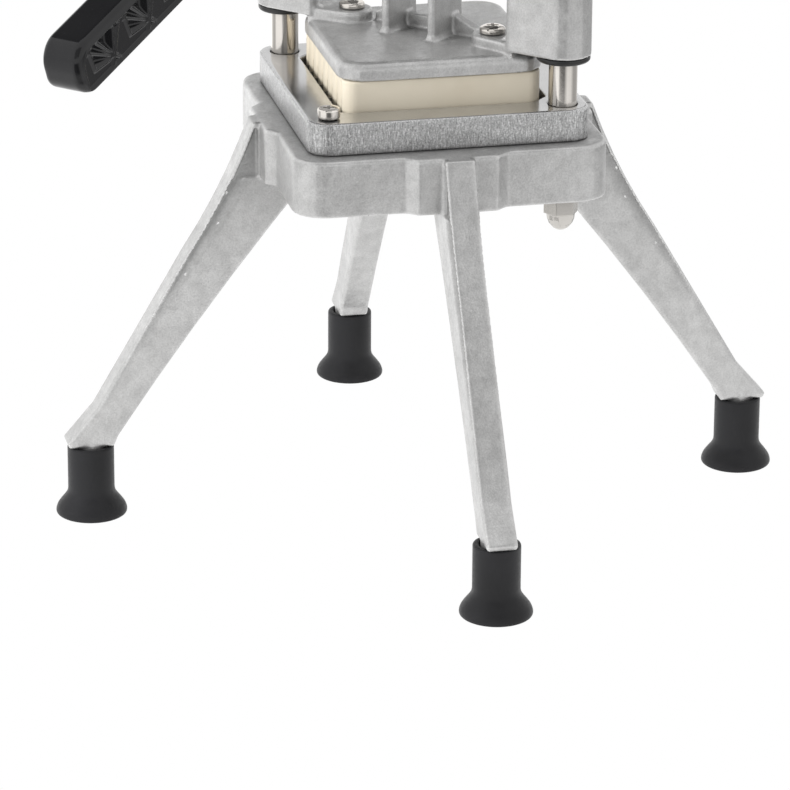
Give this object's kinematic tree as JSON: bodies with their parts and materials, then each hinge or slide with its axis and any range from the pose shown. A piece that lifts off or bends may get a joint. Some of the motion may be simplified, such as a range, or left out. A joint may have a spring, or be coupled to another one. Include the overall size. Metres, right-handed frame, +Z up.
{
  "type": "push-down potato slicer",
  "caption": "Counter-top potato slicer: a handled head slides down two guide rods and pushes a slotted block into a square blade frame on splayed legs.",
  "frame": {"origin": "on the table, under the middle of the cutter", "axes": "+X along the handle, +Y from the front guide rod to the rear one, +Z up"},
  "size_m": [0.5426, 0.2478, 0.3761],
  "materials": {
    "cast_aluminium": "satin as cast",
    "machined_aluminium": "machined top, ground sides",
    "blade_steel": "ground",
    "chrome": "bright",
    "black_rubber": "matt",
    "cream_nylon": "matt",
    "black_moulding": "gloss",
    "bearing_plastic": "satin"
  },
  "bodies": {
    "base": {"base_casting": "cast_aluminium", "foot_front_left": "black_rubber", "foot_front_right": "black_rubber", "foot_rear_left": "black_rubber", "foot_rear_right": "black_rubber", "cutter_frame": "machined_aluminium", "blade_1": "blade_steel", "blade_2": "blade_steel", "blade_3": "blade_steel", "blade_4": "blade_steel", "blade_5": "blade_steel", "blade_6": "blade_steel", "blade_7": "blade_steel", "blade_8": "blade_steel", "blade_pin_left": "blade_steel", "blade_pin_right": "blade_steel", "cutter_screw_left": "chrome", "cutter_screw_right": "chrome", "guide_rod_front": "chrome", "guide_rod_rear": "chrome", "cap_nut_front": "chrome", "cap_nut_rear": "chrome", "rod_washer_front": "chrome", "rod_washer_rear": "chrome", "stop_ring_front": "chrome", "stop_ring_rear": "chrome"},
    "head": {"head_casting": "cast_aluminium", "lower_bushing_front": "bearing_plastic", "lower_bushing_rear": "bearing_plastic", "upper_bushing_front": "bearing_plastic", "upper_bushing_rear": "bearing_plastic", "rod_bumper_front": "black_rubber", "rod_bumper_rear": "black_rubber", "block_screw_front": "chrome", "block_screw_rear": "chrome", "pusher_block": "cream_nylon", "handle": "black_moulding", "handle_bolt_left": "chrome", "handle_bolt_right": "chrome", "handle_nut_left": "chrome", "handle_nut_right": "chrome"}
  },
  "joints": [
    {"name": "head_slide", "type": "slide", "parent": "base", "child": "head", "axis": [0, 0, 1], "range_m": [0, 0.1]}
  ]
}
